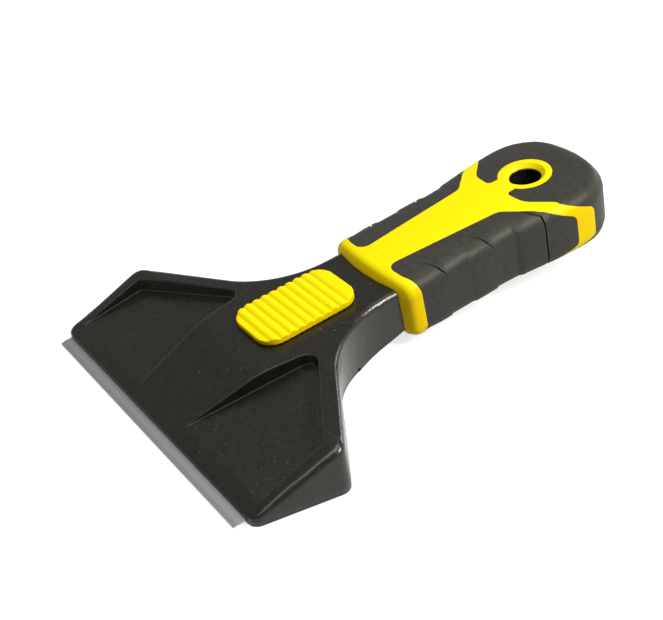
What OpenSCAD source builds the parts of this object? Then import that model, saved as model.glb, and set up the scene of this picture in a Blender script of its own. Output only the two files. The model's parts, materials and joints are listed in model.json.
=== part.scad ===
// Ceramic hob scraper: a steel strip in a wide hollow head, pushed out and in
// by a thumb slider, on a handle of hard core and soft grips.
// The edge lies along X, the handle points to +Y and the sole rests on Z = 0.

/* [Blade] */
// Length of the cutting edge
blade_w = 100; // [84:1:120]
// Depth of the steel strip from edge to back
blade_depth = 20; // [19:0.5:21]
// Thickness of the steel strip
blade_t = 0.4; // [0.3:0.05:0.5]
// How far the edge stands out of the lip
blade_reach = 3.5; // [2.5:0.25:4]
// Travel of the slider from out to in
travel = 5; // [4:0.25:5.25]
// Height of the edge above the worktop
edge_z = 0.35; // [0.3:0.05:0.5]
// Diameter of the two locating holes in the strip
peg_hole_d = 4; // [3:0.25:4.5]
// Distance between the two locating holes
peg_pitch = 50; // [40:1:60]

/* [Head] */
// Width of the moulding beyond each end of the strip
cheek = 3; // [2.5:0.25:4]
// Extra half-width of the head at its shoulders
shoulder_flare = 2; // [1:0.25:3]
// Length of the straight side from lip to shoulder
side_l = 25.9; // [25:0.1:27]
// Length of the head from lip to collar
head_l = 72; // [70:0.5:74]
// Height of the front lip
lip_h = 2.1; // [2:0.05:2.4]
// Slope of the ramp behind the lip
ramp_angle = 22.5; // [21:0.5:24]
// Length of the ramp
ramp_l = 25.7; // [24.5:0.1:27]
// Slope of the deck under the thumb slider
deck_angle = 6.6; // [6:0.1:7]
// Angle between the wings' back edges and the blade
wing_angle = 31; // [29:0.5:33]
// Width of the neck
neck_w = 29.2; // [28:0.2:31]
// Height of the neck at the collar
neck_h = 13.4; // [12.5:0.1:14.5]
// Radius of the sweep from wing to neck
neck_sweep_r = 29; // [24:1:32]
// Radius of the front corners seen from above
front_corner_r = 3; // [2:0.25:4]
// Radius of the shoulders seen from above
shoulder_r = 4; // [2.5:0.25:5]
// Radius of the rounded top edges
edge_r = 2; // [1:0.1:2.4]
// Draft of the head's walls, wider at the foot (degrees)
draft_angle = 7.5; // [3:0.5:9]
// Thickness of the outer walls
wall = 2; // [1.6:0.1:2.4]
// Thickness of the sole plate
sole_t = 1.6; // [1.4:0.1:1.8]
// Set-back of the sole plate's rim below the cover
sole_step = 0.3; // [0.1:0.05:0.5]

/* [Wing pockets] */
// Distance from the lip to where the pockets begin
pocket_front = 4.15; // [3.5:0.05:5]
// Slope of the pocket floors
pocket_angle = 12.2; // [11.5:0.1:13]
// Distance of a pocket's inner front corner from the middle
pocket_in_front = 12.6; // [12:0.1:14]
// Distance of a pocket's inner back corner from the middle
pocket_in_back = 18.7; // [18:0.1:20]
// Width of the rim behind a pocket
pocket_back_rim = 5; // [4:0.1:6]
// Width of the rim outside a pocket
pocket_side_rim = 3.9; // [3:0.1:5]
// Plastic left under the pocket floors
pocket_skin = 1.3; // [1.2:0.05:1.4]
// Corner radius at a pocket's inner back corner
pocket_r = 3.4; // [2:0.1:4]

/* [Slider] */
// Width of the thumb slider
button_w = 20; // [18:0.5:21]
// Length of the thumb slider
button_l = 30.8; // [29:0.1:31.2]
// Height of the thumb slider above the deck
button_h = 2.3; // [1.8:0.1:2.8]
// Corner radius of the thumb slider
button_r = 5.5; // [4:0.25:7]
// Distance from the lip to the slider's front
button_front = 33.1; // [32.6:0.1:33.5]
// Number of finger ribs
rib_n = 10; // [6:1:10]
// Distance between finger ribs
rib_pitch = 2.7; // [2.4:0.05:2.8]
// Width of the post that joins slider and carriage
post_w = 6; // [5:0.25:7]
// Length of the post that joins slider and carriage
post_l = 7; // [6:0.25:7.25]
// Thickness of the carriage plate
carriage_t = 1.2; // [1:0.05:1.3]
// Width of the carriage plate
carriage_w = 72; // [66:1:76]
// Thickness of the carriage tongue
tongue_t = 2.4; // [2:0.1:3]
// Width of the carriage tongue
tongue_w = 14; // [12:0.5:15]
// Running clearance of everything that slides
run_gap = 0.15; // [0.1:0.01:0.2]

/* [Handle] */
// Length of the handle from collar to heel
handle_l = 77; // [72:0.5:84]
// Slope of the handle
handle_tilt = 7.5; // [6:0.5:9]
// Rise of the handle's middle above the neck's
handle_rise = 0.4; // [0:0.1:1]
// Thickness of the handle
handle_t = 19; // [18:0.2:20]
// Width of the handle at its waist
waist_w = 36.2; // [34:0.2:38]
// Width of the handle at its heel
heel_w = 42; // [40:0.2:44]
// Radius of the heel's corners seen from above
heel_r = 15; // [13:0.5:17]
// Radius of the handle's long edges
handle_edge_r = 4; // [3:0.25:5]
// Rise of the crowned top from side to middle
crown = 1.3; // [0.6:0.1:1.6]
// Radius of the collar's rolled front
roll_r = 3.2; // [1.5:0.1:3.6]
// Thickness of the soft grips
rubber_t = 2.5; // [2:0.1:3]
// Depth of the stepped zones in the side grips
grip_step = 0.5; // [0.3:0.1:1]
// Distance between the grooves in the side grips
groove_pitch = 16.5; // [15:0.25:17]
// Width of the grooves in the side grips
groove_w = 0.5; // [0.4:0.1:1]
// Depth of the grooves in the side grips
groove_d = 0.5; // [0.3:0.1:0.9]
// Radius of the hanging hole
hang_r = 4.7; // [4:0.1:5.2]
// Wall of the tube that lines the hanging hole
tube_t = 1.3; // [1:0.1:1.6]
// Radius of the ring round the hanging hole
ring_r = 8; // [7.6:0.1:8.5]
// Distance from collar to hanging hole
hang_y = 57.8; // [56:0.2:59]

/* [Fastening] */
// Shank diameter of the sole screws
screw_d = 2.2; // [2:0.1:2.5]
// Head diameter of the sole screws
screw_head_d = 3.8; // [3.4:0.1:4.2]
// Head height of the sole screws
screw_head_h = 1; // [0.8:0.05:1.1]
// Length of the sole screws
screw_l = 5; // [4.5:0.25:5.25]
// Thickness of the detent leaf
leaf_t = 0.3; // [0.25:0.05:0.4]
// Width of the detent leaf
leaf_w = 5; // [4:0.25:6]

/* [Hidden] */
far = 200;
eps = 0.01;

// Plan of the head, with Y measured from the edge of the blade
lip_y = blade_reach;
front_x = blade_w/2 + cheek;
shoulder_x = front_x + shoulder_flare;
shoulder_y = lip_y + side_l;
collar_y = lip_y + head_l;
neck_seat = 4;

// Side view of the head
ramp_slope = tan(ramp_angle);
deck_slope = tan(deck_angle);
ramp_end_y = lip_y + ramp_l;
ramp_blend = 4;
sole_end_y = collar_y - 16.5;
neck_axis_z = deck_z(collar_y) - neck_h/2;

// Handle frame: Y runs along the handle and Z is square to its top
half_t = handle_t/2;
waist_x = waist_w/2;
heel_x = heel_w/2;
collar_bow_r = 94;
collar_bow_l = 10;
collar_front = -1.6;
flare_h = 1.4;
flare_from = 32;
flare_to = 60;
groove_first = 9.7;
step_after = 5.2;
steps_end = groove_first + step_after + 2*groove_pitch;

// Overall length, from the edge of the blade to the lowest roll of the heel
heel_roll_r = handle_edge_r;
overall_l = collar_y + (handle_l - heel_roll_r)*cos(handle_tilt)
    + (half_t - heel_roll_r)*sin(handle_tilt) + heel_roll_r;

// Slide frame: Z = 0 is the underside of the strip
carriage_front = blade_depth - 6;
plate_back = 26;
tongue_end = 52;
peg_y = carriage_front + 3;
post_y = tongue_end - 1.5 - post_l;
deck_h = (deck_z(collar_y) - edge_z - collar_y*deck_slope)*cos(deck_angle);
bay_end_y = tongue_end + travel + 0.5;
bay_roof_z = 10.5;
cover_screw_x = [front_x - 8.5, 11.4];
cover_screw_y = [lip_y + 25, lip_y + 50.5];
screw_hole_gap = 0.15;
boss_r = 2.4;
leaf_l = 16;
notch_y = 35.5;
notch_r = 1.9;
notch_relief = 0.7;

// Points of an arc that rounds the corner at v between a and b
function unit(v) = v/norm(v);
function arc_corner(a, v, b, r, n) =
    let (
        u = unit(a - v),
        w = unit(b - v),
        half = acos(u*w)/2,
        t = r/tan(half),
        c = v + unit(u + w)*r/sin(half),
        p = v + u*t - c,
        q = v + w*t - c,
        turn = sign(p[0]*q[1] - p[1]*q[0])*(180 - 2*half)
    )
    [for (i = [0:n]) let (k = turn*i/n)
        c + [p[0]*cos(k) - p[1]*sin(k), p[0]*sin(k) + p[1]*cos(k)]];

// Closed outline from corners given as [x, y, radius]
function rounded(corners, n = 6) =
    let (m = len(corners))
    [for (i = [0:m - 1]) let (
            before = corners[(i + m - 1) % m],
            here = corners[i],
            after = corners[(i + 1) % m]
        )
        for (p = here[2] > 0
            ? arc_corner([before[0], before[1]], [here[0], here[1]], [after[0], after[1]], here[2], n)
            : [[here[0], here[1]]]) p];

// Stations from first to last in order, none closer than the least gap
least_gap = 0.25;
function sorted(v) = len(v) < 2 ? v :
    let (mid = v[floor(len(v)/2)])
    concat(sorted([for (x = v) if (x < mid - least_gap) x]), [mid],
        sorted([for (x = v) if (x > mid + least_gap) x]));
function stations(first, last, marks) =
    concat([first], sorted([for (x = marks) if (x > first + least_gap && x < last - least_gap) x]), [last]);

function smooth(t) = let (k = max(0, min(1, t))) k*k*(3 - 2*k);

// Height of the ramp and deck, with a soft bend where they meet
function bend_z(y, from) =
    lip_h + ramp_slope*(y - lip_y)
    - (ramp_slope - deck_slope)*(y < from ? 0 :
        y > from + 2*ramp_blend ? y - from - ramp_blend :
        pow(y - from, 2)/(4*ramp_blend));
function deck_z(y) = bend_z(y, ramp_end_y - ramp_blend);

// Height of the underside, which lifts off the worktop towards the collar
function under_z(y) =
    let (
        lift = neck_axis_z - neck_h/2,
        t = (y - sole_end_y)/(collar_y - sole_end_y)
    )
    t < 0 ? 0 : lift*(t < 1 ? t*(2 + t)/3 : 1 + (t - 1)*4/3);

// Right half of the head's outline, drawn inwards by d
function back_edge_y(x, d) =
    shoulder_y + (shoulder_x - x)*tan(wing_angle) - d/cos(wing_angle);
function head_side(d) =
    let (
        front = [front_x - d, lip_y + d],
        shoulder = [shoulder_x - d, back_edge_y(shoulder_x - d, d)],
        root = [neck_w/2 - d, back_edge_y(neck_w/2 - d, d)],
        end = [neck_w/2 - d, collar_y + neck_seat]
    )
    concat(
        arc_corner([0, lip_y + d], front, shoulder, front_corner_r, 5),
        arc_corner(front, shoulder, root, shoulder_r, 5),
        arc_corner(shoulder, root, end, neck_sweep_r, 12),
        [end]);

// Half-width of the head at y, and how far its edge turns from the handle's line
head_table = [for (p = head_side(0)) [p[1], p[0]]];
function head_x(y) = lookup(y, head_table);
function edge_lean(y) = norm([1, (head_x(y + 0.2) - head_x(y - 0.2))/0.4]);
function foot_x(y) = head_x(y)
    + (deck_z(y) - under_z(y))*tan(draft_angle)*(1 - smooth((y - side_l - 4)/14));

// One rounded cross-section in XZ, with a crowned top and its foot at low_x
function ring_section(y, x, low_x, top, bottom, rx, rz, rise, foot_r) =
    let (
        arc = [for (a = [0:22.5:90]) [x - rx + rx*cos(a), top - rz + rz*sin(a)]],
        crest = [for (k = [0.5, 0]) [(x - rx)*k, top]],
        foot = [for (a = [-90:45:0])
            [low_x - foot_r + foot_r*cos(a), bottom + foot_r + foot_r*sin(a)]],
        right = concat(foot, arc, crest),
        left = [for (i = [len(right) - 2:-1:0]) [-right[i][0], right[i][1]]]
    )
    [for (p = concat(right, left))
        [p[0], y, p[1] - (p[1] > (top + bottom)/2 ? rise*pow(p[0]/x, 2) : 0)]];

// Solid skin through a row of such sections; a bowed end is closed in strips
module loft(sections, bowed = false) {
    n = len(sections[0]);
    m = len(sections);
    h = (n - 1)/2;
    strips = concat([for (i = [0:h - 2]) [i, i + 1, n - 2 - i, n - 1 - i]], [[h - 1, h, h + 1]]);
    cap = bowed ? strips : [[for (i = [0:n - 1]) i]];
    polyhedron(
        points = [for (s = sections) for (p = s) p],
        faces = concat(
            [for (f = cap) [for (i = [len(f) - 1:-1:0]) f[i]]],
            [for (j = [0:m - 2]) for (i = [0:n - 1]) let (k = (i + 1) % n)
                for (f = [[j*n + i, (j + 1)*n + k, (j + 1)*n + i],
                    [j*n + i, j*n + k, (j + 1)*n + k]]) f],
            [for (f = cap) [for (i = f) (m - 1)*n + i]]));
}

module mirrored() {
    children();
    mirror([1, 0, 0]) children();
}

// Frames of the slide and of the handle
module on_slide() {
    translate([0, 0, edge_z]) rotate([deck_angle, 0, 0]) children();
}
module on_handle() {
    translate([0, collar_y, neck_axis_z + handle_rise]) rotate([handle_tilt, 0, 0]) children();
}
// Puts the middle of the whole tool over the origin
module centred() {
    translate([0, -overall_l/2, 0]) children();
}

// Box between two corners
module span(low, high) {
    translate(low) cube(high - low);
}

// Outside of the head, lip to collar
head_stations = stations(lip_y, collar_y + neck_seat, concat(
    [for (p = head_side(0)) p[1]],
    [for (y = [lip_y + 6:5:shoulder_y]) y],
    [for (y = [-ramp_blend:2:ramp_blend]) ramp_end_y + y],
    [for (y = [sole_end_y:3:collar_y]) y]));
module head_form() {
    loft([for (y = head_stations) let (
            top = deck_z(y),
            bottom = under_z(y),
            rz = min(edge_r, (top - bottom)*0.35)
        )
        ring_section(y, head_x(y), foot_x(y), top, bottom,
            min(rz*edge_lean(y), 2.6*edge_r), rz, 0, 0.3)]);
}

// Outline of the sole plate, set back from the foot of the walls
module sole_plan() {
    half = [for (y = head_stations) if (y < sole_end_y - least_gap) [foot_x(y) - sole_step, y]];
    front = max(half[0][1], lip_y + 0.1);
    mirrored() polygon(concat([[0, front]], [for (p = half) [p[0], max(p[1], front)]],
        [[foot_x(sole_end_y) - sole_step, sole_end_y], [0, sole_end_y]]));
}

module head_plan(d, y_from, y_to) {
    side = [for (p = head_side(d)) if (p[1] < y_to) [p[0], max(p[1], y_from)]];
    last = [head_x(y_to) - d, y_to];
    half = concat([[0, y_from]], side, [last, [0, y_to]]);
    mirrored() polygon(half);
}

// Sunken triangular field in each wing, with a floor flatter than the ramp
module wing_pocket() {
    start_y = lip_y + pocket_front;
    outer_x = front_x - pocket_side_rim + pocket_front*shoulder_flare/side_l;
    difference() {
        linear_extrude(far) polygon(rounded([
            [pocket_in_front, start_y, 0],
            [outer_x, start_y, 0],
            [outer_x, back_edge_y(outer_x, pocket_back_rim), 1],
            [pocket_in_back, back_edge_y(pocket_in_back, pocket_back_rim), pocket_r]], 5));
        pocket_floor(0) span([0, -far, -far], [far, far, 0]);
    }
}

// Plane of the pocket floors, lowered by d
module pocket_floor(d) {
    translate([0, lip_y + pocket_front, deck_z(lip_y + pocket_front) - d])
        rotate([pocket_angle, 0, 0]) children();
}

// Hollow under the roof, where the carriage runs
module bay() {
    intersection() {
        linear_extrude(bay_roof_z) head_plan(wall, lip_y + wall, bay_end_y);
        pocket_floor(pocket_skin) span([-far, -far, -far], [far, far, 0]);
    }
}

// Room for the strip where it passes the lip
module blade_mouth(high, low) {
    on_slide() span([-blade_w/2 - run_gap, -5, -low], [blade_w/2 + run_gap, blade_depth, high]);
}

module at_cover_screws() {
    mirrored() for (i = [0, 1]) translate([cover_screw_x[i], cover_screw_y[i], 0]) children();
}

// Bar of the head that the handle is moulded round, and the tube at its tail
tang_w = 18;
tang_t = 8;
tang_l = 44;
tail_w = 9;
key_r = 2.5;
key_y = [16, 34];
module tang() {
    on_handle() difference() {
        union() {
            linear_extrude(tang_t, center = true) polygon(rounded([
                [tang_w/2, 0, 0],
                [tang_w/2, tang_l, 3],
                [tail_w/2, tang_l, 1],
                [tail_w/2, hang_y, 0],
                [-tail_w/2, hang_y, 0],
                [-tail_w/2, tang_l, 1],
                [-tang_w/2, tang_l, 3],
                [-tang_w/2, 0, 0]]));
            translate([0, hang_y, 0])
                cylinder(h = handle_t - 2*flare_h, r = hang_r + tube_t, center = true, $fn = 64);
        }
        for (y = key_y) translate([0, y, 0]) cylinder(h = far, r = key_r, center = true, $fn = 48);
        translate([0, hang_y, 0]) cylinder(h = far, r = hang_r, center = true, $fn = 64);
    }
}

module head_cover() color([0.09, 0.09, 0.09]) centred() {
    difference() {
        union() {
            head_form();
            tang();
        }
        mirrored() wing_pocket();
        difference() {
            union() {
                span([-far, 0, -1], [far, sole_end_y, sole_t]);
                bay();
            }
            on_slide() span([-blade_w/2 - run_gap, -5, blade_t + run_gap],
                [blade_w/2 + run_gap, lip_y + wall, far]);
            intersection() {
                at_cover_screws() cylinder(h = far, r = boss_r, $fn = 40);
                span([-far, 0, sole_t], [far, far, far]);
            }
        }
        blade_mouth(blade_t + run_gap, 2);
        at_cover_screws() cylinder(h = sole_t - screw_head_h + screw_l + 0.4,
            r = screw_d/2, $fn = 32);
        on_slide() span([-post_w/2 - run_gap, post_y - run_gap, 0],
            [post_w/2 + run_gap, post_y + post_l + travel + run_gap, far]);
    }
}

rail_x = [[2.5, 5.5], [14, 17], [30, 33], [44, 47]];
module head_base() color([0.07, 0.07, 0.07]) centred() {
    difference() {
        union() {
            linear_extrude(sole_t) sole_plan();
            intersection() {
                mirrored() for (r = rail_x)
                    span([r[0], lip_y + wall + 1, 0], [r[1], r[0] > 40 ? lip_y + 20 : 36, far]);
                on_slide() span([-far, -far, -far], [far, far, -run_gap]);
            }
            intersection() {
                span([-leaf_w/2 - 1.5, notch_y - leaf_l/2 - 1.5, 0],
                    [leaf_w/2 + 1.5, notch_y + leaf_l/2 + 1.5, far]);
                on_slide() span([-far, -far, -far], [far, far, -run_gap]);
            }
        }
        blade_mouth(far, run_gap);
        on_slide() leaf_bed();
        at_cover_screws() {
            cylinder(h = far, r = screw_d/2 + screw_hole_gap, $fn = 32);
            translate([0, 0, -1]) cylinder(h = 1 + screw_head_h, r = screw_head_d/2 + 0.2, $fn = 40);
        }
    }
}

module base_screws() color([0.72, 0.72, 0.74]) centred() {
    at_cover_screws() difference() {
        union() {
            translate([0, 0, 0.05]) cylinder(h = screw_head_h - 0.05, r = screw_head_d/2, $fn = 40);
            translate([0, 0, screw_head_h - eps])
                cylinder(h = screw_l, r = screw_d/2 - 0.05, $fn = 32);
        }
        for (a = [0, 90]) translate([0, 0, -1]) rotate(a)
            span([-1.1, -0.3, 0], [1.1, 0.3, 1.5]);
    }
}

module at_pegs() {
    mirrored() translate([peg_pitch/2, peg_y, 0]) children();
}

module blade() color([0.5, 0.51, 0.52]) centred() on_slide() {
    bevel_l = 1.2;
    difference() {
        rotate([90, 0, 90]) linear_extrude(blade_w, center = true) polygon([
            [0, 0], [blade_depth, 0], [blade_depth, blade_t], [bevel_l, blade_t], [0, 0.1]]);
        at_pegs() cylinder(h = far, r = peg_hole_d/2, center = true, $fn = 48);
    }
}

module blade_carriage() color([0.2, 0.2, 0.21]) centred() on_slide() {
    half_w = carriage_w/2;
    taper = tan(wing_angle);
    tongue_x = tongue_w/2;
    root_y = plate_back + (half_w - tongue_x)*taper;
    difference() {
        union() {
            translate([0, 0, blade_t]) linear_extrude(carriage_t) polygon(rounded([
                [half_w, carriage_front, 1.5],
                [half_w, plate_back, 2],
                [tongue_x, root_y, 2],
                [tongue_x, tongue_end, 2],
                [-tongue_x, tongue_end, 2],
                [-tongue_x, root_y, 2],
                [-half_w, plate_back, 2],
                [-half_w, carriage_front, 1.5]]));
            span([-tongue_x, plate_back, blade_t], [tongue_x, tongue_end - 2, blade_t + tongue_t]);
            span([-post_w/2, post_y, blade_t],
                [post_w/2, post_y + post_l, deck_h + run_gap]);
            at_pegs() translate([0, 0, eps])
                cylinder(h = blade_t + 0.2, r = peg_hole_d/2 - 0.1, $fn = 48);
        }
        detent_track();
        post_centre() button_screw_hole();
    }
}

// Two notches, and the shallow track that the leaf's crest runs in between them
module detent_track() {
    for (y = [0, -travel]) translate([0, notch_y + y, blade_t - 0.2])
        rotate([0, 90, 0]) cylinder(h = leaf_w + 1, r = notch_r, center = true, $fn = 32);
    span([-leaf_w/2 - 0.5, notch_y - travel, -1], [leaf_w/2 + 0.5, notch_y, blade_t + notch_relief]);
}

module post_centre() {
    translate([0, post_y + post_l/2, 0]) children();
}
button_screw_z = 2.4;
button_screw_top = deck_h + 1;
module button_screw_hole() {
    cylinder(h = far, r = screw_d/2, $fn = 32);
    cylinder(h = button_screw_z, r = screw_head_d/2 + 0.1, $fn = 40);
}

module slider_button() color([0.98, 0.9, 0.05]) centred() on_slide() {
    front = button_front + lip_y;
    x = button_w/2;
    crest = deck_h + button_h;
    rib_r = rib_pitch*0.62;
    rib_rise = 0.55;
    difference() {
        intersection() {
            translate([0, 0, deck_h + run_gap]) linear_extrude(far) polygon(rounded([
                [x, front, button_r],
                [x, front + button_l, button_r],
                [-x, front + button_l, button_r],
                [-x, front, button_r]], 8));
            union() {
                span([-x, front, 0], [x, front + button_l, crest - rib_rise]);
                for (i = [0:rib_n - 1])
                    translate([0, front + 1.8 + rib_pitch*(i + 0.5), crest - rib_r])
                        rotate([0, 90, 0]) cylinder(h = button_w, r = rib_r, center = true, $fn = 40);
                span([-x, front + 1.8 + rib_pitch*(rib_n - 0.5), 0],
                    [x, front + button_l, crest - 0.05]);
            }
        }
        post_centre() cylinder(h = button_screw_top + 0.2, r = screw_d/2, $fn = 32);
    }
}

module button_screw() color([0.7, 0.7, 0.72]) centred() on_slide() post_centre() {
    translate([0, 0, button_screw_z - 1.3]) cylinder(h = 1.3, r = screw_head_d/2, $fn = 40);
    translate([0, 0, button_screw_z - 0.1])
        cylinder(h = button_screw_top - button_screw_z + 0.1, r = screw_d/2 - 0.05, $fn = 32);
}

// Bed of the leaf in the base, and the leaf with its crest in a notch
leaf_drop = 1.2;
module leaf_bed() {
    span([-leaf_w/2 - run_gap, notch_y - leaf_l/2 - run_gap, -leaf_drop],
        [leaf_w/2 + run_gap, notch_y + leaf_l/2 + run_gap, far]);
}
module detent_leaf() color([0.75, 0.76, 0.78]) centred() on_slide() {
    half = leaf_l/2;
    crest_z = blade_t + notch_relief - 0.1;
    crest_half = 1.6;
    foot = 3;
    lower = [[-half, -leaf_drop], [-half + foot, -leaf_drop],
        [-crest_half, crest_z - 1], [-0.5, crest_z - leaf_t], [0.5, crest_z - leaf_t],
        [crest_half, crest_z - 1], [half - foot, -leaf_drop], [half, -leaf_drop]];
    upper = [for (i = [len(lower) - 1:-1:0]) lower[i] + [0, leaf_t]];
    translate([0, notch_y, 0]) rotate([90, 0, 90])
        linear_extrude(leaf_w, center = true) polygon(concat(lower, upper));
}

// Half-width of the handle at y, heel and rolled collar included
function handle_x(y) =
    let (
        x = waist_x + (heel_x - waist_x)*smooth((y - flare_from)/(flare_to - flare_from)),
        into_heel = max(0, y - (handle_l - heel_r))
    )
    x - heel_r + sqrt(max(0, heel_r*heel_r - into_heel*into_heel));
function roll_in(d, r) = d < r ? r - sqrt(max(0, r*r - pow(r - d, 2))) : 0;
function step_in(y) =
    let (t = (y - groove_first - step_after) % groove_pitch, k = t < 0 ? t + groove_pitch : t)
    k < groove_pitch/2 ? smooth((k - groove_pitch/2 + 1)) : smooth(groove_pitch - k);

// How far the collar's front bows back at a distance x from the middle
function collar_bow(x, y) = x*x/(2*collar_bow_r)*(1 - smooth((y - collar_front)/collar_bow_l));

// Outer skin of the handle; drop is how deep the stepped zones are
handle_marks = concat(
    [for (a = [22.5:22.5:90]) collar_front + roll_r*(1 - cos(a))],
    [for (y = [6:4:flare_to]) y],
    [for (a = [0:11.25:90]) handle_l - heel_r + heel_r*sin(a)],
    [for (a = [0:22.5:90]) handle_l - heel_roll_r + heel_roll_r*sin(a)]);
handle_stations = stations(collar_front, handle_l, handle_marks);
grip_stations = stations(collar_front, handle_l, concat(handle_marks,
    [for (k = [0:2]) for (d = [0, -1, groove_pitch/2 - 1, groove_pitch/2])
        groove_first + step_after + k*groove_pitch + d]));
module handle_form(stations, drop, inset = 0) {
    loft([for (y = stations) let (
            roll = max(roll_in(y - collar_front, roll_r), roll_in(handle_l - y, heel_roll_r)),
            x = handle_x(y) - inset - (y < handle_l/2 ? roll : 0)
                - (y > 5 && y < steps_end ? drop*(1 - step_in(y)) : 0),
            lean = norm([1, (handle_x(y + 0.2) - handle_x(y - 0.2))/0.4]),
            r = handle_edge_r - roll*0.5,
            top = half_t - roll - inset
        )
        [for (p = ring_section(y, x, x, top, -top, min(r*lean, x*0.8), r, crown, r*0.8))
            p + [0, collar_bow(p[0], y), 0]]], true);
}

// Hard core under the grips
module core_bar() {
    d = rubber_t;
    side = [for (y = [for (k = [collar_front + 3.2:6:flare_to]) k]) [handle_x(y) - d, y]];
    heel = [for (a = [0:15:90]) let (r = heel_r - d)
        [heel_x - heel_r + r*cos(a), handle_l - heel_r + r*sin(a)]];
    linear_extrude(handle_t - 2*d, center = true)
        mirrored() polygon(concat([[0, side[0][1]]], side, heel, [[0, handle_l - d]]));
}

// Outlines of the soft areas seen from above; past border_x they run down the sides
border_x = heel_x - handle_edge_r + 0.6;
border_z = half_t - crown;
arm_top_y = 48.8;
arm_side_y = 58.4;
heel_top_y = 54.6;
heel_side_y = 65.2;
module grip_plan() {
    polygon(rounded([
        [5.9, 2.5, 2.8],
        [13, 3.1, 8],
        [18.4, 5.2, 2],
        [30, 5.6, 0],
        [30, arm_side_y, 0],
        [border_x, arm_side_y, 0],
        [border_x, arm_top_y, 0],
        [9, 40, 4]], 4));
}
module heel_plan() {
    stem_x = 3.9;
    right = rounded([
        [stem_x, hang_y, 0],
        [stem_x, 47.3, 1.5],
        [10.6, 47.9, 6],
        [border_x, heel_top_y, 0],
        [30, heel_top_y, 0],
        [30, 90, 0]], 4);
    difference() {
        polygon(concat(right, [for (i = [len(right) - 1:-1:0]) [-right[i][0], right[i][1]]]));
        translate([0, hang_y]) circle(r = ring_r, $fn = 64);
    }
}

// All that lies in front of a soft area's border, seen from the side
module before_border(top_y, side_y) {
    rotate([90, 0, 90]) linear_extrude(far, center = true) polygon(rounded([
        [-far, -far, 0],
        [top_y, -far, 0],
        [top_y, -border_z - 0.9, 0],
        [side_y, -border_z + 1, 3],
        [side_y, border_z - 5.2, 3],
        [top_y, border_z, 0],
        [top_y, far, 0],
        [-far, far, 0]], 4));
}

// Everything that the soft mouldings fill outside the core
module side_zone() {
    difference() {
        linear_extrude(far, center = true) grip_plan();
        core_bar();
        difference() {
            span([border_x, 0, -far], [far, far, far]);
            before_border(arm_top_y, arm_side_y);
        }
    }
}
module heel_zone() {
    difference() {
        linear_extrude(far, center = true) heel_plan();
        core_bar();
        mirrored() intersection() {
            span([border_x, 0, -far], [far, far, far]);
            before_border(heel_top_y, heel_side_y);
        }
    }
}

module hang_bore() {
    translate([0, hang_y, 0]) {
        cylinder(h = far, r = hang_r, center = true, $fn = 64);
        for (s = [0, 1]) mirror([0, 0, s]) translate([0, 0, half_t - flare_h])
            cylinder(h = 2*flare_h, r1 = hang_r, r2 = hang_r + 2*flare_h, $fn = 64);
    }
}

module handle_core() color([0.98, 0.9, 0.05]) centred() {
    difference() {
        on_handle() difference() {
            handle_form(handle_stations, 0);
            mirrored() side_zone();
            heel_zone();
            hang_bore();
        }
        head_form();
        tang();
    }
}

// One groove line: it runs out over the top and down the side
groove_path = [[9.8, 0], [16.8, 3.4], [18.2, 5], [30, 5.4]];
module groove_plan() {
    back = [for (i = [len(groove_path) - 1:-1:0]) groove_path[i] + [0, i == 0 ? 0.05 : groove_w]];
    polygon(concat(groove_path, back));
}

// One side grip, with the grooves that wrap over its edge
module side_grip() {
    difference() {
        intersection() {
            handle_form(grip_stations, grip_step);
            side_zone();
        }
        difference() {
            for (k = [0:2]) translate([0, groove_first + k*groove_pitch - groove_w/2, 0])
                linear_extrude(far, center = true) groove_plan();
            handle_form(handle_stations, 0, groove_d + grip_step/2);
        }
    }
}

module grip_right() color([0.2, 0.2, 0.2]) centred() on_handle() side_grip();
module grip_left() color([0.2, 0.2, 0.2]) centred() on_handle() mirror([1, 0, 0]) side_grip();
module grip_heel() color([0.2, 0.2, 0.2]) centred() on_handle() {
    intersection() {
        handle_form(handle_stations, 0);
        heel_zone();
    }
}

head_cover();
head_base();
base_screws();
blade();
blade_carriage();
slider_button();
button_screw();
detent_leaf();
handle_core();
grip_left();
grip_right();
grip_heel();
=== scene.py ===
import json
import math

import bmesh
import bpy
from mathutils import Matrix, Vector

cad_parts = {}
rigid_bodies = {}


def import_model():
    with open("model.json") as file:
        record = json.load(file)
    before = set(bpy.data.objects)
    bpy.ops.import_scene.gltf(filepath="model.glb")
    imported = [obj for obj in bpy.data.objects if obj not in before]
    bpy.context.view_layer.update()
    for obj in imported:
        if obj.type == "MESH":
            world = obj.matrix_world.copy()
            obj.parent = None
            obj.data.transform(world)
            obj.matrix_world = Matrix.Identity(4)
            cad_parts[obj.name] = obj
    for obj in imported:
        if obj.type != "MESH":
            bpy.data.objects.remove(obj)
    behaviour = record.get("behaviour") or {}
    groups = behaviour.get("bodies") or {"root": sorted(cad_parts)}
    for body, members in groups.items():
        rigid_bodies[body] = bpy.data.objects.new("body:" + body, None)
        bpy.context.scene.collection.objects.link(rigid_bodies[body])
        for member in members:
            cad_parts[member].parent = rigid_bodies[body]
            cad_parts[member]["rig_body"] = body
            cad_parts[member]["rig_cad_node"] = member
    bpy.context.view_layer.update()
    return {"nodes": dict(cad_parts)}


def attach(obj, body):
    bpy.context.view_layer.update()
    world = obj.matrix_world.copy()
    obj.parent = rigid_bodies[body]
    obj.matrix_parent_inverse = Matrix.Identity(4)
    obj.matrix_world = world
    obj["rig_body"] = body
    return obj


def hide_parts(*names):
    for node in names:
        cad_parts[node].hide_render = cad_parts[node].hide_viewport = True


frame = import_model()
scene = bpy.context.scene
scene.view_settings.view_transform = "Standard"


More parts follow.
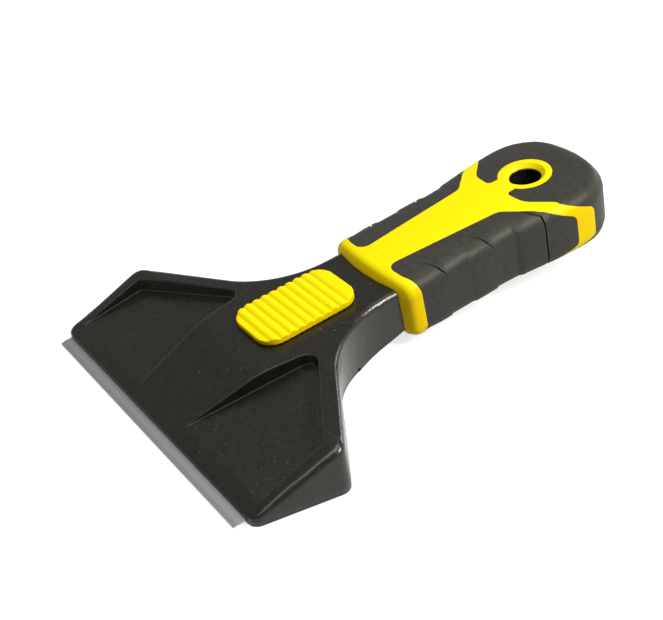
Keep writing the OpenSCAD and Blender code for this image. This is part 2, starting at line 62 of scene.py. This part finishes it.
# ---------------------------------------------------------------- camera
# Viewpoint worked out from the blade's edge, the head's corners, the hanging
# hole and the heel as the photograph shows them.
CAMERA_AZIMUTH = math.radians(59.346)
CAMERA_HEIGHT = math.radians(32.477)
CAMERA_ROLL = math.radians(-5.400)
CAMERA_PLACE = Vector((0.26388, -0.17091, 0.20577))
FOCAL_PIXELS = 1311.38
FRAME_WIDTH_PIXELS = 663
SENSOR_WIDTH_MM = 36
NEAREST_SEEN, FARTHEST_SEEN = 0.01, 10


def set_camera():
    a, e, r = CAMERA_AZIMUTH, CAMERA_HEIGHT, CAMERA_ROLL
    back = Vector((math.sin(a) * math.cos(e), -math.cos(a) * math.cos(e), math.sin(e)))
    level_right = Vector((0, 0, 1)).cross(back).normalized()
    level_up = back.cross(level_right)
    right = level_right * math.cos(r) + level_up * math.sin(r)
    up = back.cross(right)
    lens = bpy.data.cameras.new("photo_view")
    lens.lens = FOCAL_PIXELS * SENSOR_WIDTH_MM / FRAME_WIDTH_PIXELS
    lens.sensor_width = SENSOR_WIDTH_MM
    lens.clip_start, lens.clip_end = NEAREST_SEEN, FARTHEST_SEEN
    camera = bpy.data.objects.new("photo_view", lens)
    camera.matrix_world = Matrix((
        (right.x, up.x, back.x, CAMERA_PLACE.x),
        (right.y, up.y, back.y, CAMERA_PLACE.y),
        (right.z, up.z, back.z, CAMERA_PLACE.z),
        (0, 0, 0, 1)))
    scene.collection.objects.link(camera)
    scene.camera = camera


# ---------------------------------------------------------------- node helpers
def node(tree, kind, **settings):
    made = tree.nodes.new(kind)
    for key, value in settings.items():
        setattr(made, key, value)
    return made


def wire(tree, source, target):
    tree.links.new(source, target)


def feed(tree, socket, value):
    """Sets a socket to a plain value, or wires another node's output into it."""
    if isinstance(value, (int, float, tuple)):
        socket.default_value = value
    else:
        wire(tree, value, socket)


def sums(tree, operation, first, second, third=None, clamp=False):
    made = node(tree, "ShaderNodeMath", operation=operation, use_clamp=clamp)
    for socket, value in zip(made.inputs, (first, second, third)):
        if value is not None:
            feed(tree, socket, value)
    return made.outputs[0]


def times(tree, first, second, clamp=False):
    return sums(tree, "MULTIPLY", first, second, clamp=clamp)


def colour_mix(tree, mask, first, second):
    made = node(tree, "ShaderNodeMix", data_type="RGBA")
    feed(tree, made.inputs["Factor"], mask)
    feed(tree, made.inputs[6], first)
    feed(tree, made.inputs[7], second)
    return made.outputs[2]


def noise(tree, where, scale, detail, roughness):
    made = node(tree, "ShaderNodeTexNoise")
    made.inputs["Detail"].default_value = detail
    made.inputs["Roughness"].default_value = roughness
    feed(tree, made.inputs["Scale"], scale)
    wire(tree, where, made.inputs["Vector"])
    return made.outputs["Fac"]


def object_place(tree):
    """Place on the piece, which stays with it when it slides."""
    return node(tree, "ShaderNodeTexCoord").outputs["Object"]


def facing_up(tree):
    """Height of the surface's own normal: 1 on a level top, 0 on an upright side."""
    facing = node(tree, "ShaderNodeSeparateXYZ")
    wire(tree, node(tree, "ShaderNodeNewGeometry").outputs["Normal"], facing.inputs[0])
    return facing.outputs["Z"]


# ---------------------------------------------------------------- shader groups
# Grain: the coarser layer's scale against the fine one, and its share of the height.
COARSE_SCALE, COARSE_SHARE = 0.37, 0.6
# Rubbed edges: how steeply the mask rises where the rounded normal turns away.
RUB_CONTRAST = 9.0
# Dust: least and added radius of a speck in its cell, least and added strength,
# and the share of cells with a speck at an Amount of 1.
SPECK_RADIUS, SPECK_RADIUS_ADDED = 0.05, 0.15
SPECK_STRENGTH, SPECK_STRENGTH_ADDED = 0.2, 0.8
SPECK_SHARE = 0.12
# Dust lies where a face looks up more than this, and only in patches.
DUST_LEVEL, DUST_LEVEL_CONTRAST = 0.5, 3.0
DUST_PATCH_SCALE, DUST_PATCH_LIMIT = 38.0, 0.47


def new_group(name, inputs, outputs):
    """Node group with inputs named and valued, and outputs named; all of them are values."""
    group = bpy.data.node_groups.new(name, "ShaderNodeTree")
    for label, value in inputs.items():
        socket = group.interface.new_socket(
            label, in_out="INPUT", socket_type="NodeSocketFloat")
        socket.default_value = value
    for label in outputs:
        group.interface.new_socket(label, in_out="OUTPUT", socket_type="NodeSocketFloat")
    given, result = group.nodes.new("NodeGroupInput"), group.nodes.new("NodeGroupOutput")
    return group, given.outputs, result.inputs


def build_spark_grain():
    """Fine spark-eroded texture of a moulding, with slow clouding of the shade."""
    group, given, result = new_group(
        "Spark_grain", {"Grain scale": 2600.0, "Cloud scale": 45.0}, ("Height", "Clouds"))
    place = object_place(group)
    fine = noise(group, place, given["Grain scale"], 3.0, 0.65)
    coarse_scale = times(group, given["Grain scale"], COARSE_SCALE)
    coarse = noise(group, place, coarse_scale, 1.0, 0.5)
    wire(group, sums(group, "MULTIPLY_ADD", coarse, COARSE_SHARE, fine), result["Height"])
    wire(group, noise(group, place, given["Cloud scale"], 3.0, 0.6), result["Clouds"])
    return group


def build_rubbed_edges():
    """Mask of edges that handling has rubbed: where a rounded normal leaves the true one."""
    group, given, result = new_group(
        "Rubbed_edges", {"Reach": 0.0004, "Break up": 160.0}, ("Mask",))
    rounded = node(group, "ShaderNodeBevel", samples=4)
    wire(group, given["Reach"], rounded.inputs["Radius"])
    facing = node(group, "ShaderNodeVectorMath", operation="DOT_PRODUCT")
    wire(group, rounded.outputs[0], facing.inputs[0])
    wire(group, node(group, "ShaderNodeNewGeometry").outputs["Normal"], facing.inputs[1])
    turned = sums(group, "SUBTRACT", 1.0, facing.outputs["Value"])
    patches = noise(group, object_place(group), given["Break up"], 3.0, 0.6)
    steep = times(group, turned, RUB_CONTRAST)
    wire(group, times(group, steep, patches, clamp=True), result["Mask"])
    return group


def build_dust_specks():
    """Mask of sparse dust specks, in patches, on faces that look up."""
    group, given, result = new_group(
        "Dust_specks", {"Scale": 420.0, "Amount": 0.4}, ("Mask",))
    place = object_place(group)
    cells = node(group, "ShaderNodeTexVoronoi", feature="F1")
    wire(group, given["Scale"], cells.inputs["Scale"])
    wire(group, place, cells.inputs["Vector"])
    chance = node(group, "ShaderNodeSeparateColor")
    wire(group, cells.outputs["Color"], chance.inputs[0])
    radius = sums(group, "MULTIPLY_ADD", chance.outputs[1], SPECK_RADIUS_ADDED, SPECK_RADIUS)
    strength = sums(
        group, "MULTIPLY_ADD", chance.outputs[2], SPECK_STRENGTH_ADDED, SPECK_STRENGTH)
    near = sums(group, "LESS_THAN", cells.outputs["Distance"], radius)
    near = times(group, near, strength)
    threshold = sums(group, "SUBTRACT", 1.0, times(group, given["Amount"], SPECK_SHARE))
    chosen = sums(group, "GREATER_THAN", chance.outputs[0], threshold)
    above = sums(group, "SUBTRACT", facing_up(group), DUST_LEVEL)
    upward = times(group, above, DUST_LEVEL_CONTRAST, clamp=True)
    patch_noise = noise(group, place, DUST_PATCH_SCALE, 2.0, 0.5)
    patches = sums(group, "GREATER_THAN", patch_noise, DUST_PATCH_LIMIT)
    mask = times(group, times(group, near, chosen), times(group, upward, patches))
    wire(group, mask, result["Mask"])
    return group


def build_brushing():
    """Long fine scratches along X, from grinding."""
    group, given, result = new_group(
        "Brushing", {"Across": 9000.0, "Along": 60.0}, ("Height", "Streaks"))
    stretch = node(group, "ShaderNodeCombineXYZ")
    wire(group, given["Along"], stretch.inputs["X"])
    wire(group, given["Across"], stretch.inputs["Y"])
    wire(group, given["Across"], stretch.inputs["Z"])
    scaled = node(group, "ShaderNodeVectorMath", operation="MULTIPLY")
    wire(group, object_place(group), scaled.inputs[0])
    wire(group, stretch.outputs[0], scaled.inputs[1])
    streaks = noise(group, scaled.outputs[0], 1.0, 4.0, 0.6)
    wire(group, streaks, result["Height"])
    wire(group, streaks, result["Streaks"])
    return group


SPARK_GRAIN = build_spark_grain()
RUBBED_EDGES = build_rubbed_edges()
DUST_SPECKS = build_dust_specks()
BRUSHING = build_brushing()


# ---------------------------------------------------------------- materials
# Plastic: width of the rubbed edges, how much they pale and how much they polish.
RUB_REACH, RUB_PALING, RUB_POLISH = 0.0005, 0.6, 0.08
# Painted side shade: a face takes it where its normal's height is below this, and this is how
# fast the painted shade deepens.
SIDE_SHADE_LEVEL, SIDE_SHADE_CONTRAST = 0.8, 1.8
DUST_SCALE, DUST_COLOUR = 900.0, (0.10, 0.10, 0.085, 1)
PLASTIC_GLOSS_SPREAD, PLASTIC_BUMP = 0.14, 0.35
# Metal: shade of the dark and pale streaks, how far the clouds darken, and the relief.
METAL_DARK, METAL_PALE, METAL_CLOUDING = 0.86, 1.1, 0.35
METAL_GRAIN, METAL_CLOUDS = 900.0, 70.0
METAL_GLOSS_SPREAD, METAL_BUMP, METAL_DEPTH, METAL_EDGE = 0.2, 0.25, 0.00002, 0.00008


def new_material(name):
    material = bpy.data.materials.new(name)
    material.use_nodes = True
    tree = material.node_tree
    return material, tree, tree.nodes["Principled BSDF"]


def place_group(tree, group, **values):
    made = node(tree, "ShaderNodeGroup", node_tree=group)
    for label, value in values.items():
        made.inputs[label.replace("_", " ")].default_value = value
    return made.outputs


def shaded(colour, share):
    return tuple(min(1, channel * share) for channel in colour) + (1,)


def soft_bump(tree, shader, height, strength, depth, edge):
    """Bump from a height, over edges rounded by the given radius."""
    rounding = node(tree, "ShaderNodeBevel", samples=6)
    rounding.inputs["Radius"].default_value = edge
    bump = node(tree, "ShaderNodeBump")
    bump.inputs["Strength"].default_value = strength
    bump.inputs["Distance"].default_value = depth
    wire(tree, height, bump.inputs["Height"])
    wire(tree, rounding.outputs[0], bump.inputs["Normal"])
    wire(tree, bump.outputs[0], shader.inputs["Normal"])


def moulded_plastic(name, colour, rubbed, gloss, grain, depth, clouding=0.18, clouds=42.0,
                    edge=0.0003, dust=0.0, specular=0.5, tint=(1, 1, 1), painted_side_shade=None):
    """Satin moulding: clouded shade, fine grain, edges a touch smoother and paler.

    A painted side-shade colour deepens the upright sides, which is shade painted into the base
    colour, and dust lies on the level ones.
    """
    material, tree, shader = new_material(name)
    texture = place_group(tree, SPARK_GRAIN, Grain_scale=grain, Cloud_scale=clouds)
    rubbing = place_group(tree, RUBBED_EDGES, Reach=RUB_REACH)["Mask"]
    shade = colour_mix(
        tree, texture["Clouds"], shaded(colour, 1 - clouding), shaded(colour, 1 + clouding))
    shade = colour_mix(tree, times(tree, rubbing, RUB_PALING), shade, rubbed + (1,))
    # Painted shade: upright sides are mixed towards a deeper colour, standing in for the shade
    # that light gives them.
    if painted_side_shade:
        below = sums(tree, "SUBTRACT", SIDE_SHADE_LEVEL, facing_up(tree))
        side_shade_mask = times(tree, below, SIDE_SHADE_CONTRAST, clamp=True)
        shade = colour_mix(tree, side_shade_mask, shade, painted_side_shade + (1,))
    if dust:
        specks = place_group(tree, DUST_SPECKS, Scale=DUST_SCALE, Amount=dust)["Mask"]
        shade = colour_mix(tree, specks, shade, DUST_COLOUR)
    wire(tree, shade, shader.inputs["Base Color"])
    rough = sums(tree, "MULTIPLY_ADD", texture["Clouds"],
                 PLASTIC_GLOSS_SPREAD, gloss - PLASTIC_GLOSS_SPREAD / 2)
    rough = sums(tree, "SUBTRACT", rough, times(tree, rubbing, RUB_POLISH))
    wire(tree, rough, shader.inputs["Roughness"])
    shader.inputs["Specular IOR Level"].default_value = specular
    shader.inputs["Specular Tint"].default_value = tint + (1,)
    soft_bump(tree, shader, texture["Height"], PLASTIC_BUMP, depth, edge)
    return material


def brushed_metal(name, colour, gloss, metallic=1.0):
    """Ground or plated steel: streaks along X under slow clouds."""
    material, tree, shader = new_material(name)
    brushing = place_group(tree, BRUSHING)
    clouds = place_group(
        tree, SPARK_GRAIN, Grain_scale=METAL_GRAIN, Cloud_scale=METAL_CLOUDS)["Clouds"]
    dark = shaded(colour, METAL_DARK)
    shade = colour_mix(tree, brushing["Streaks"], dark, shaded(colour, METAL_PALE))
    shade = colour_mix(tree, times(tree, clouds, METAL_CLOUDING), shade, dark)
    wire(tree, shade, shader.inputs["Base Color"])
    rough = sums(tree, "MULTIPLY_ADD", brushing["Streaks"],
                 METAL_GLOSS_SPREAD, gloss - METAL_GLOSS_SPREAD / 2)
    wire(tree, rough, shader.inputs["Roughness"])
    shader.inputs["Metallic"].default_value = metallic
    soft_bump(tree, shader, brushing["Height"], METAL_BUMP, METAL_DEPTH, METAL_EDGE)
    return material


# The warm tint takes the blue out of the lights' sheen on the blacks and greys.
WARM_SHEEN = (1, 0.98, 0.88)
# Painted shade: a deeper amber mixed into the yellow's upright sides, standing in for the
# shade they get from the lamps.
YELLOW_PAINTED_SIDE_SHADE = (0.72, 0.50, 0.0)

FINISHES = {
    "head_black": moulded_plastic(
        "head_black_satin", colour=(0.0065, 0.0059, 0.0046), rubbed=(0.010, 0.0095, 0.0080),
        gloss=0.26, grain=2400.0, depth=0.00006, clouding=0.6, clouds=520.0,
        edge=0.0006, dust=2.2, specular=0.48, tint=WARM_SHEEN),
    "sole_black": moulded_plastic(
        "sole_black_satin", colour=(0.0065, 0.006, 0.005), rubbed=(0.025, 0.025, 0.023),
        gloss=0.38, grain=2400.0, depth=0.00005),
    "carriage_grey": moulded_plastic(
        "carriage_grey_satin", colour=(0.20, 0.20, 0.20), rubbed=(0.3, 0.3, 0.3),
        gloss=0.4, grain=2600.0, depth=0.00004),
    "slider_yellow": moulded_plastic(
        "slider_yellow_satin", colour=(0.70, 0.57, 0.0), rubbed=(0.80, 0.56, 0.0),
        gloss=0.45, grain=2200.0, depth=0.00003, clouding=0.02,
        edge=0.0005, specular=0.07, painted_side_shade=YELLOW_PAINTED_SIDE_SHADE),
    "core_yellow": moulded_plastic(
        "core_yellow_satin", colour=(0.67, 0.555, 0.0), rubbed=(0.62, 0.42, 0.0),
        gloss=0.42, grain=2200.0, depth=0.00003, clouding=0.02,
        edge=0.0004, specular=0.07, painted_side_shade=YELLOW_PAINTED_SIDE_SHADE),
    "grip_grey": moulded_plastic(
        "grip_grey_soft", colour=(0.027, 0.026, 0.0205), rubbed=(0.060, 0.054, 0.048),
        gloss=0.48, grain=1700.0, depth=0.00012, clouding=0.5, clouds=620.0,
        edge=0.0004, specular=0.20, tint=WARM_SHEEN),
    "blade_steel": brushed_metal(
        "blade_steel_ground", colour=(0.31, 0.31, 0.313), gloss=0.45, metallic=0.8),
    "screw_steel": brushed_metal(
        "screw_zinc_plated", colour=(0.66, 0.66, 0.68), gloss=0.34),
    "spring_steel": brushed_metal(
        "spring_steel_bright", colour=(0.62, 0.63, 0.65), gloss=0.26),
}


# ---------------------------------------------------------------- pieces
# A flat is a run of faces that turn less than SAME_PLANE. Between two flats larger
# than LARGE_FLAT (square metres), a turn past FAINT_CREASE stays sharp.
SAME_PLANE = math.radians(0.3)
LARGE_FLAT = 0.00012
FAINT_CREASE = math.radians(1.5)
LOOSE_CORNER = 0.000002
FLAT_FACE_WEIGHT = 80
SKIN_VOXEL, SKIN_RELAXING, SKIN_PASSES = 0.0002, 0.5, 7


def deselect_all():
    bpy.ops.object.select_all(action="DESELECT")


def find_flats(mesh):
    """Which flat each face lies in, and the area of each flat."""
    mesh.faces.ensure_lookup_table()
    flat_of, area_of = {}, []
    for start in mesh.faces:
        if start.index in flat_of:
            continue
        flat_of[start.index] = len(area_of)
        area, waiting = 0.0, [start]
        while waiting:
            face = waiting.pop()
            area += face.calc_area()
            for edge in face.edges:
                if len(edge.link_faces) != 2 or edge.calc_face_angle(0.0) > SAME_PLANE:
                    continue
                for other in edge.link_faces:
                    if other.index not in flat_of:
                        flat_of[other.index] = len(area_of)
                        waiting.append(other)
        area_of.append(area)
    return flat_of, area_of


def mark_creases(piece, angle):
    """Marks as sharp every edge past the angle, and every crease between two large flats."""
    mesh = bmesh.new()
    mesh.from_mesh(piece.data)
    flat_of, area_of = find_flats(mesh)
    for edge in mesh.edges:
        if len(edge.link_faces) != 2:
            continue
        turn = edge.calc_face_angle(0.0)
        both_large = all(
            area_of[flat_of[face.index]] > LARGE_FLAT for face in edge.link_faces)
        edge.smooth = not (turn > angle or (both_large and turn > FAINT_CREASE))
    for face in mesh.faces:
        face.smooth = True
    mesh.to_mesh(piece.data)
    mesh.free()


def shade_between_creases(piece, angle):
    """Smooth shading between the creases, in which large flat faces keep their own shade."""
    mark_creases(piece, angle)
    weighting = piece.modifiers.new("flat_faces_rule", "WEIGHTED_NORMAL")
    weighting.mode = "FACE_AREA"
    weighting.weight = FLAT_FACE_WEIGHT
    weighting.keep_sharp = True
    bpy.ops.object.modifier_apply(modifier=weighting.name)


def round_every_edge(piece):
    """Turns the piece into an even skin and relaxes it, so that its edges come out rounded."""
    skin = piece.modifiers.new("even_skin", "REMESH")
    skin.mode = "VOXEL"
    skin.voxel_size = SKIN_VOXEL
    skin.use_smooth_shade = True
    bpy.ops.object.modifier_apply(modifier=skin.name)
    relax = piece.modifiers.new("relaxed_edges", "SMOOTH")
    relax.factor = SKIN_RELAXING
    relax.iterations = SKIN_PASSES
    bpy.ops.object.modifier_apply(modifier=relax.name)


def merged_copy(name):
    """Copy of a CAD node with its loose triangles joined, selected and active."""
    source = frame["nodes"][name]
    piece = source.copy()
    piece.data = source.data.copy()
    piece.name = "smooth_" + name
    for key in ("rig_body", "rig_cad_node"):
        if key in piece:
            del piece[key]
    piece.parent = None
    scene.collection.objects.link(piece)
    deselect_all()
    piece.select_set(True)
    bpy.context.view_layer.objects.active = piece
    bpy.ops.object.mode_set(mode="EDIT")
    bpy.ops.mesh.select_all(action="SELECT")
    bpy.ops.mesh.remove_doubles(threshold=LOOSE_CORNER)
    bpy.ops.object.mode_set(mode="OBJECT")
    return piece


def smoothed_copy(name, body, finish, crease_angle):
    """Stands for a CAD node: creased past an angle in degrees, or rounded all over."""
    piece = merged_copy(name)
    if crease_angle is None:
        round_every_edge(piece)
    else:
        shade_between_creases(piece, math.radians(crease_angle))
    piece.data.materials.clear()
    piece.data.materials.append(FINISHES[finish])
    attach(piece, body)
    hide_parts(name)


set_camera()

SMOOTHED = [
    ("head_cover", "frame", "head_black", 30),
    ("head_base", "frame", "sole_black", 30),
    ("handle_core", "frame", "core_yellow", 34),
    ("grip_left", "frame", "grip_grey", 34),
    ("grip_right", "frame", "grip_grey", 34),
    ("grip_heel", "frame", "grip_grey", 34),
    ("slider_button", "slider", "slider_yellow", None),
    ("blade_carriage", "slider", "carriage_grey", 30),
]
for row in SMOOTHED:
    smoothed_copy(*row)

KEPT_NODES = {
    "base_screws": "screw_steel",
    "blade": "blade_steel",
    "button_screw": "screw_steel",
    "detent_leaf": "spring_steel",
}
for name, finish in KEPT_NODES.items():
    mesh = frame["nodes"][name].data
    mesh.materials.clear()
    mesh.materials.append(FINISHES[finish])


# ---------------------------------------------------------------- room
FLOOR_SIDE = 6.0
FLOOR_RIM = 1.2
FLOOR_DROP = 0.0002
FLOOR_SHADE = 0.35
FLOOR_GLOW = 0.75
ROOM_LIGHT = 0.33
# Name, place, point aimed at, width, height, watts. The first lights the ramp and
# the deck, the second draws the bright streak on the neck, the third lights the back.
SOFT_BOXES = [
    ("over_softbox", (-0.08, -0.06, 0.94), (0, 0, 0), 0.66, 0.66, 5.7),
    ("neck_softbox", (0.387, 0.238, 0.423), (0.017, -0.011, 0.022), 0.12, 0.20, 4.6),
    ("back_softbox", (-0.15, 0.85, 0.22), (0.02, 0, 0.02), 0.3, 0.14, 1.2),
]


def floor_tray():
    """Open tray under the object: a floor with an upturned rim, faces to the inside."""
    deselect_all()
    bpy.ops.mesh.primitive_cube_add(size=1, location=(0, 0, FLOOR_RIM / 2 - FLOOR_DROP))
    floor = bpy.context.object
    floor.name = "floor"
    floor.scale = (FLOOR_SIDE, FLOOR_SIDE, FLOOR_RIM)
    bpy.ops.object.transform_apply(location=True, rotation=False, scale=True)
    shell = bmesh.new()
    shell.from_mesh(floor.data)
    lid = [face for face in shell.faces if face.normal.z > 0.5]
    bmesh.ops.delete(shell, geom=lid, context="FACES")
    bmesh.ops.reverse_faces(shell, faces=shell.faces[:])
    shell.to_mesh(floor.data)
    shell.free()
    return floor


def pale_matt():
    """Matt floor that camera, transmission and glossy rays see pale, shadows and all."""
    material, tree, shader = new_material("pale_floor")
    shader.inputs["Base Color"].default_value = (FLOOR_SHADE, FLOOR_SHADE, FLOOR_SHADE, 1)
    shader.inputs["Roughness"].default_value = 0.9
    shader.inputs["Specular IOR Level"].default_value = 0.0
    shader.inputs["Emission Color"].default_value = (1, 1, 1, 1)
    rays = node(tree, "ShaderNodeLightPath").outputs
    seen = sums(tree, "MAXIMUM", rays["Is Camera Ray"], rays["Is Transmission Ray"])
    seen = sums(tree, "MAXIMUM", seen, rays["Is Glossy Ray"])
    wire(tree, times(tree, seen, FLOOR_GLOW), shader.inputs["Emission Strength"])
    return material


def dim_room():
    """Even grey light from the rest of the room."""
    world = bpy.data.worlds.new("studio")
    scene.world = world
    world.use_nodes = True
    background = world.node_tree.nodes["Background"]
    background.inputs["Color"].default_value = (1, 1, 1, 1)
    background.inputs["Strength"].default_value = ROOM_LIGHT


def soft_box(name, place, aim, width, height, power):
    light = bpy.data.lights.new(name, "AREA")
    light.shape = "RECTANGLE"
    light.size, light.size_y = width, height
    light.energy = power
    box = bpy.data.objects.new(name, light)
    box.location = place
    box.rotation_mode = "QUATERNION"
    box.rotation_quaternion = (Vector(aim) - Vector(place)).to_track_quat("-Z", "Y")
    scene.collection.objects.link(box)


floor = floor_tray()
floor.data.materials.append(pale_matt())
dim_room()
for row in SOFT_BOXES:
    soft_box(*row)
